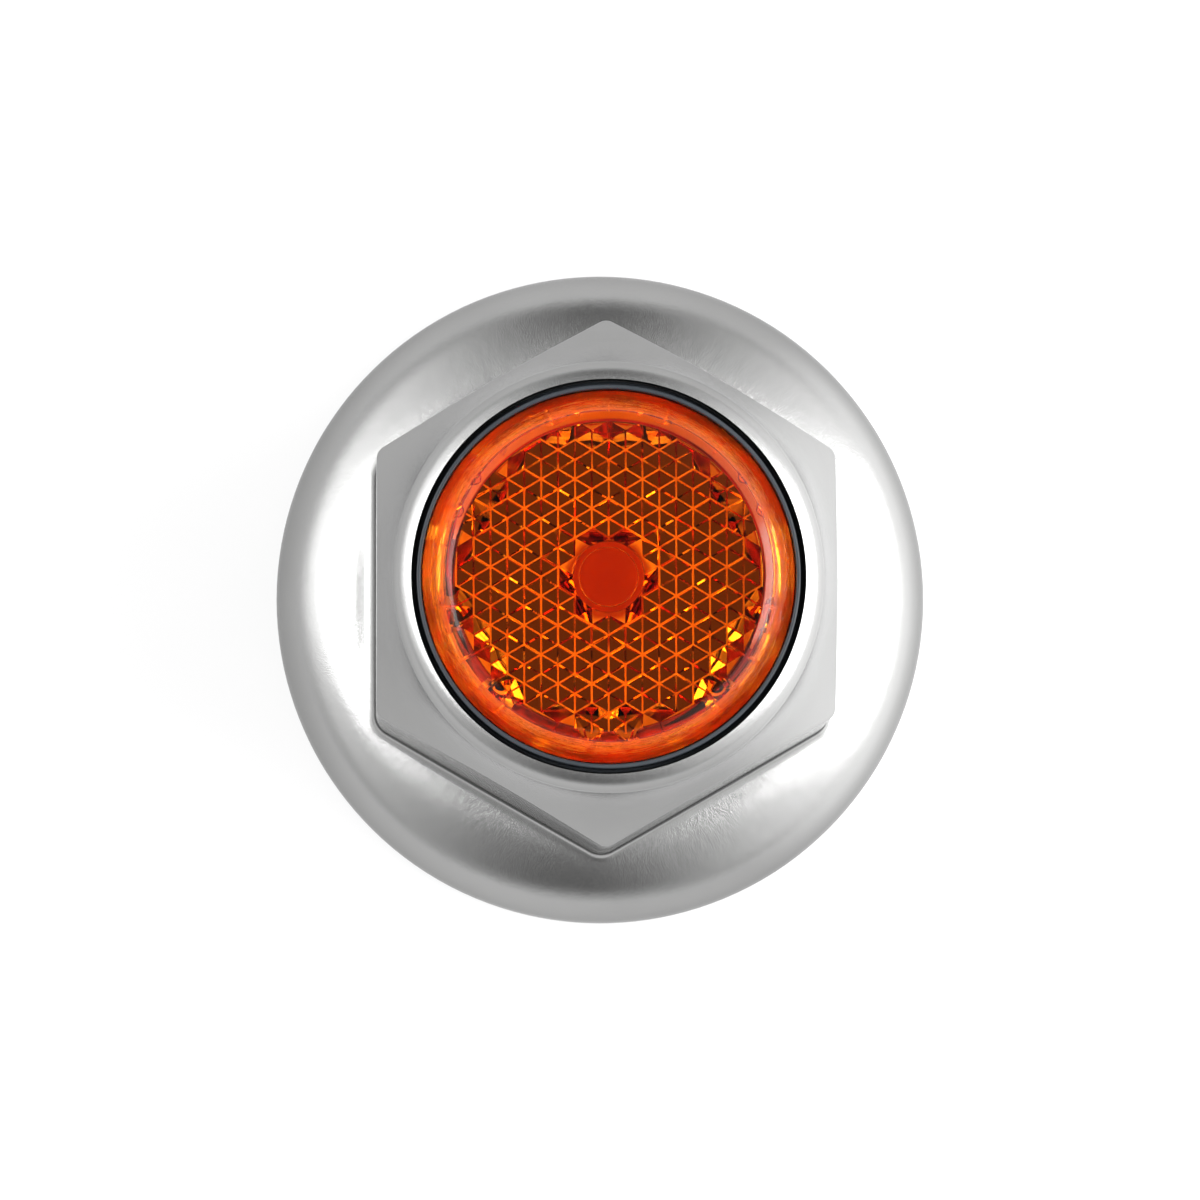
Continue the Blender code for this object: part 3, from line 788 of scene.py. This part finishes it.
def reflector_gasket(material):
    """Rubber ring with a raised sealing bead along its top."""
    inner = BEZEL_RADIUS + GAP
    outer = high("reflector_gasket").x
    base, top = low("reflector_gasket").z, high("reflector_gasket").z
    middle = (inner + outer) / 2
    face = top - BEAD_HEIGHT
    outline = [(inner, base), (inner, face), (middle - BEAD_FOOT, face),
               (middle - BEAD_CREST, top), (middle + BEAD_CREST, top),
               (middle + BEAD_FOOT, face), (outer, face), (outer, base)]
    mesh = mesh_from_bmesh("sealing_ring", turned(eased(outline, GASKET_EASE), ring=True))
    finish_piece("sealing_ring", mesh, material, "cover",
                 "reflector_gasket", smooth_angle=50)


def retaining_ring(material):
    """Flat spring ring whose outer edge is slotted into teeth."""
    inner = HOUSING_RADIUS + GAP
    outer = high("retaining_ring").x
    base, top = low("retaining_ring").z, high("retaining_ring").z
    turns = np.linspace(0, 2 * math.pi, CLIP_TOOTH_COLUMNS * CLIP_TEETH, endpoint=False)
    pitch = 2 * math.pi / CLIP_TEETH
    across = np.abs((turns % pitch) - pitch / 2) * outer
    slot = np.clip((across - CLIP_SLOT_WIDTH / 2) / CLIP_SLOT_EASE, 0, 1)
    edge = CLIP_SLOT_RADIUS + (outer - CLIP_SLOT_RADIUS) * slot
    section = eased([(0, base), (1, base), (1, top), (0, top)], CLIP_EASE)
    rows = [ring_row(inner + (edge - inner) * share, z, turns) for share, z in section]
    finish_piece("toothed_clip", grid("toothed_clip", rows), material, "cover",
                 "retaining_ring")


# --- Band, leaf springs and rivets ---------------------------------------------------------

def radial_frame(side, across, height):
    """Frame whose +Z points out through one flat; across runs along the flat."""
    turn = Matrix.Rotation(math.radians(60 * side), 4, "Z")
    return turn @ Matrix.Translation((0, across, height)) @ Matrix.Rotation(
        math.radians(90), 4, "Y")


def rivet_places(side):
    """Frames of the two rivets on one flat."""
    return [radial_frame(side, across, RIVET_Z)
            for across in (-RIVET_SPACING / 2, RIVET_SPACING / 2)]


def rivet_holes(sides):
    """Cylinders through band and leaf on the rivets' axes."""
    bm = bmesh.new()
    for side in sides:
        for place in rivet_places(side):
            bmesh.ops.create_cone(
                bm, cap_ends=True, segments=RIVET_SEGMENTS, radius1=RIVET_HOLE_RADIUS,
                radius2=RIVET_HOLE_RADIUS, depth=RIVET_HOLE_DEPTH,
                matrix=place @ Matrix.Translation((0, 0, BAND_WEB_APOTHEM)))
    return mesh_from_bmesh("holes", bm)


def retainer_band(material):
    """Channel-section hexagonal band: lips outwards, web inwards."""
    base, top = low("retainer_band").z, high("retainer_band").z
    inside = BAND_WEB_APOTHEM - BAND_STOCK
    section = eased([(BAND_LIP_APOTHEM, base), (BAND_LIP_APOTHEM, base + BAND_STOCK),
                     (BAND_WEB_APOTHEM, base + BAND_STOCK), (BAND_WEB_APOTHEM, top - BAND_STOCK),
                     (BAND_LIP_APOTHEM, top - BAND_STOCK), (BAND_LIP_APOTHEM, top),
                     (inside, top), (inside, base)], BAND_EASE)
    rows = []
    for apothem, z in section:
        outline = hexagon_columns(apothem, BAND_CORNER - (BAND_LIP_APOTHEM - apothem))
        rows.append(np.concatenate([outline, np.full((len(outline), 1), z)], 1))
    mesh = combined(grid("channel_band", rows), rivet_holes(range(SIDES)), "DIFFERENCE")
    finish_piece("channel_band", mesh, material, "cover", "retainer_band")


def leaf_line(heights):
    """Distance from the axis of a leaf's middle line at heights above its rivets."""
    bend = np.clip((heights - LEAF_BEND) / (LEAF_HEEL - LEAF_BEND), 0, 1)
    rise = (LEAF_HEEL_APOTHEM - LEAF_ROOT_APOTHEM) * (1 - np.cos(math.pi * bend)) / 2
    bow = np.maximum((heights - LEAF_HEEL) / (LEAF_GRIP - LEAF_HEEL), 0)
    sink = (LEAF_HEEL_APOTHEM - LEAF_GRIP_APOTHEM) * (1 - np.cos(math.pi * bow)) / 2
    return LEAF_ROOT_APOTHEM + rise - sink


def leaf_spring(side, material):
    """Bent strip with rounded edges and rounded corners at both ends."""
    heights = np.linspace(LEAF_TOP, LEAF_TIP, LEAF_ROWS)
    middle = leaf_line(heights)
    slope = np.gradient(middle, heights)
    normals = np.stack([np.ones_like(slope), -slope], -1)
    normals /= np.linalg.norm(normals, axis=1)[:, None]
    from_end = np.minimum(heights[0] - heights, heights - heights[-1])
    short = LEAF_CORNER - np.clip(from_end, 0, LEAF_CORNER)
    half = LEAF_WIDTH / 2 - LEAF_CORNER + np.sqrt(LEAF_CORNER ** 2 - short ** 2)
    thick = LEAF_STOCK / 2
    section = eased([(-1, -thick), (1, -thick), (1, thick), (-1, thick)], LEAF_EASE)
    rows = []
    for height, r, normal, reach in zip(heights, middle, normals, half):
        rows.append([(r + out * normal[0], share * reach, RIVET_Z + height + out * normal[1])
                     for share, out in section])
    mesh = grid(f"grip_leaf_{side + 1}", rows, ring=False)
    mesh.transform(Matrix.Rotation(math.radians(60 * side), 4, "Z"))
    mesh = combined(mesh, rivet_holes([side]), "DIFFERENCE")
    finish_piece(f"grip_leaf_{side + 1}", mesh, material, f"leaf_{side + 1}",
                 f"leaf_spring_{side + 1}")


def rivets(side, material):
    """Domed head inside, shank through leaf and band, domed tail outside the web."""
    head_face = LEAF_ROOT_APOTHEM - LEAF_STOCK / 2 - GAP
    tail_face = BAND_WEB_APOTHEM + GAP
    turns = np.radians(np.linspace(0, 90, ROUND_STEPS))
    head = [(RIVET_HEAD_RADIUS * math.sin(t), head_face - RIVET_HEAD_HEIGHT * math.cos(t))
            for t in turns]
    tail = [(RIVET_TAIL_RADIUS * math.sin(t), tail_face + RIVET_TAIL_HEIGHT * math.cos(t))
            for t in turns[::-1]]
    profile = head + [(RIVET_RADIUS, head_face), (RIVET_RADIUS, tail_face)] + tail
    for letter, place in zip("ab", rivet_places(side)):
        bm = turned(profile, segments=RIVET_SEGMENTS)
        bmesh.ops.transform(bm, matrix=place, verts=bm.verts)
        name = f"{side + 1}{letter}"
        finish_piece(f"leaf_rivet_{name}", mesh_from_bmesh(f"leaf_rivet_{name}", bm), material,
                     "cover", f"rivet_{name}")


# --- Stage ---------------------------------------------------------------------------------

def studio_world():
    """A white tent: light falls off smoothly from the sides to the front and back, with a
    soft box at each side, a dimmer front left, an even sweep near the horizon that is
    brighter to the right, and an even roof with a dark hole for the camera."""
    world = bpy.data.worlds.new("studio")
    bpy.context.scene.world = world
    world.use_nodes = True
    nodes = Nodes(world.node_tree)
    direction = nodes.add("ShaderNodeTexCoord").outputs["Generated"]
    x, y, z = nodes.add("ShaderNodeSeparateXYZ", {"Vector": direction}).outputs
    flat = nodes.math("SQRT", nodes.math("MULTIPLY_ADD", x, x, nodes.math("MULTIPLY", y, y)))
    flat = nodes.math("MAXIMUM", flat, LEAST_RADIUS)
    towards_right = nodes.math("DIVIDE", x, flat)
    fall = nodes.math("POWER", nodes.math("ABSOLUTE", towards_right), TENT_POWER)
    level = nodes.math("MULTIPLY_ADD", fall, TENT_SIDES, TENT_LEAST)
    front_left = nodes.math("MULTIPLY_ADD", x, DIM_HEADING[0],
                            nodes.math("MULTIPLY", y, DIM_HEADING[1]))
    front_left = nodes.math("DIVIDE", front_left, flat)
    dim = nodes.ramp(front_left, DIM_START, DIM_FULL, 1.0, DIM_SHARE)
    level = nodes.math("MULTIPLY", level, dim)
    on_right = nodes.ramp(towards_right, SWEEP_RIGHT_START, SWEEP_RIGHT_FULL)
    sweep = nodes.math("MULTIPLY_ADD", on_right, SWEEP_RIGHT, SWEEP_LEAST)
    level = nodes.blend_levels(level, sweep, nodes.ramp(z, SWEEP_TOP, SWEEP_FOOT))
    below_top = nodes.ramp(z, BOX_TOP_START, BOX_TOP_END, 1.0, 0.0)
    for start, end, foot, strength in SOFT_BOXES:
        height = nodes.math("MULTIPLY", nodes.ramp(z, foot, foot + BOX_FOOT_EASE), below_top)
        box = nodes.math("MULTIPLY", nodes.ramp(towards_right, start, end), height)
        level = nodes.math("MULTIPLY_ADD", box, strength, level)
    for outer, inner, strength in OVERHEAD:
        cap = nodes.ramp(z, math.cos(math.radians(outer)), math.cos(math.radians(inner)))
        level = nodes.blend_levels(level, strength, cap)
    background = world.node_tree.nodes["Background"]
    nodes.put(level, background.inputs["Strength"])
    background.inputs["Color"].default_value = (1, 1, 1, 1)


def floor():
    """A white light table that glows by itself, with a painted pool of light to the right of the
    cover.
    """
    bm = bmesh.new()
    bmesh.ops.create_circle(bm, cap_ends=True, radius=FLOOR_RADIUS,
                            segments=FLOOR_SEGMENTS)
    bmesh.ops.translate(bm, verts=bm.verts, vec=(0, 0, -FLOOR_DROP))
    mesh = mesh_from_bmesh("floor", bm)
    material, nodes, shader = new_material("pale_floor")
    tint = nodes.ramp(nodes.noise(object_place(nodes), 3.0), 0.3, 0.7)
    nodes.put(nodes.mix(tint, (0.15, 0.15, 0.15, 1), (0.145, 0.145, 0.145, 1)),
              shader.inputs["Base Color"])
    shader.inputs["Roughness"].default_value = 0.9
    shader.inputs["Specular IOR Level"].default_value = 0.1
    # painted pool of light: extra emission to the right of the cover
    x, _, _, radius = round_the_axis(nodes, object_place(nodes))
    towards_right = nodes.math("DIVIDE", x, nodes.math("MAXIMUM", radius, LEAST_RADIUS))
    painted_pool = nodes.math("MULTIPLY", nodes.ramp(towards_right, GLOW_RIGHT_START, GLOW_RIGHT_FULL),
                      nodes.ramp(radius, GLOW_INNER_RADIUS * MM, GLOW_OUTER_RADIUS * MM))
    nodes.put(nodes.math("MULTIPLY_ADD", painted_pool, PAINTED_POOL_GLOW, FLOOR_GLOW),
              shader.inputs["Emission Strength"])
    shader.inputs["Emission Color"].default_value = (1, 1, 1, 1)
    mesh.materials.append(material)
    piece = linked("floor", mesh)


def camera():
    """Almost straight down the axis, from a metre away and a little to the front left."""
    place = Vector(CAMERA_PLACE) * MM
    outward = place.normalized()
    up = (Vector((0, 1, 0)) - outward * outward.y).normalized()
    right = up.cross(outward)
    data = bpy.data.cameras.new("camera")
    data.sensor_width = SENSOR_WIDTH
    data.lens = SENSOR_WIDTH * place.length / (VIEW_WIDTH * MM)
    data.clip_end = CAMERA_REACH * MM
    piece = linked("camera", data)
    turn = Matrix((right, up, outward)).transposed().to_4x4()
    piece.matrix_world = Matrix.Translation(place) @ turn
    bpy.context.scene.camera = piece


def main():
    """Build the stage, then every piece in its material."""
    bpy.context.scene.view_settings.view_transform = "Standard"
    studio_world()
    floor()
    camera()
    cover_shell(stainless())
    reflector_lens(amber())
    reflector_housing(moulded("dark_plastic", (0.018, 0.022, 0.027), (0.025, 0.03, 0.036),
                              roughness=0.4, shine=0.3))
    reflector_cup(orange_cup())
    reflector_gasket(moulded("black_rubber", (0.012, 0.012, 0.012), (0.02, 0.02, 0.02),
                             roughness=0.75))
    spring = rolled_steel("spring_steel", (0.36, 0.36, 0.37), (0.27, 0.265, 0.26),
                          roughness=0.32)
    zinc = rolled_steel("rivet_steel", (0.56, 0.56, 0.57), (0.45, 0.45, 0.46), roughness=0.3)
    retaining_ring(spring)
    retainer_band(spring)
    for side in range(SIDES):
        leaf_spring(side, spring)
        rivets(side, zinc)


main()
